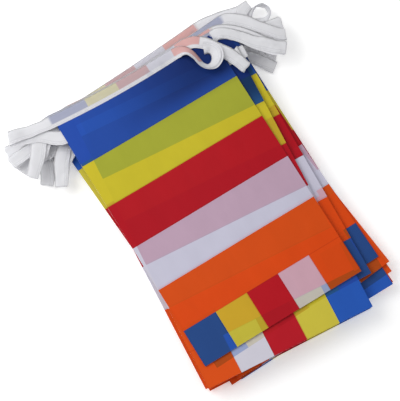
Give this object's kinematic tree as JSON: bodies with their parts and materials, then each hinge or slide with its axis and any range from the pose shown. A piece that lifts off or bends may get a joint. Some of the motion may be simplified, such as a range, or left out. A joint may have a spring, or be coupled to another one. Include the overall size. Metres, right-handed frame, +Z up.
{
  "type": "folded string of prayer flags",
  "caption": "String of small multicoloured cloth flags on a white tape, folded to and fro into a flat fanned stack with tape loops at its ends.",
  "frame": {"origin": "on the surface that the stack lies on, under the middle of its box", "axes": "+Z up, +X along the sewn tape from left to right as seen from above with the tape at the far side, +Y across the stack towards the tape"},
  "size_m": [0.2434, 0.2678, 0.0342],
  "materials": {
    "printed_cloth": "thin smooth woven polyester in bands of blue, yellow, red, white and orange, a little see-through",
    "white_tape": "matt white woven ribbon, folded over the cloth's edge"
  },
  "bodies": {
    "root": {"flag_01": "printed_cloth", "flag_02": "printed_cloth", "flag_03": "printed_cloth", "flag_04": "printed_cloth", "flag_05": "printed_cloth", "flag_06": "printed_cloth", "flag_07": "printed_cloth", "flag_08": "printed_cloth", "flag_09": "printed_cloth", "flag_10": "printed_cloth", "flag_11": "printed_cloth", "flag_12": "printed_cloth", "flag_13": "printed_cloth", "flag_14": "printed_cloth", "flag_15": "printed_cloth", "flag_16": "printed_cloth", "tape": "white_tape"}
  },
  "joints": []
}
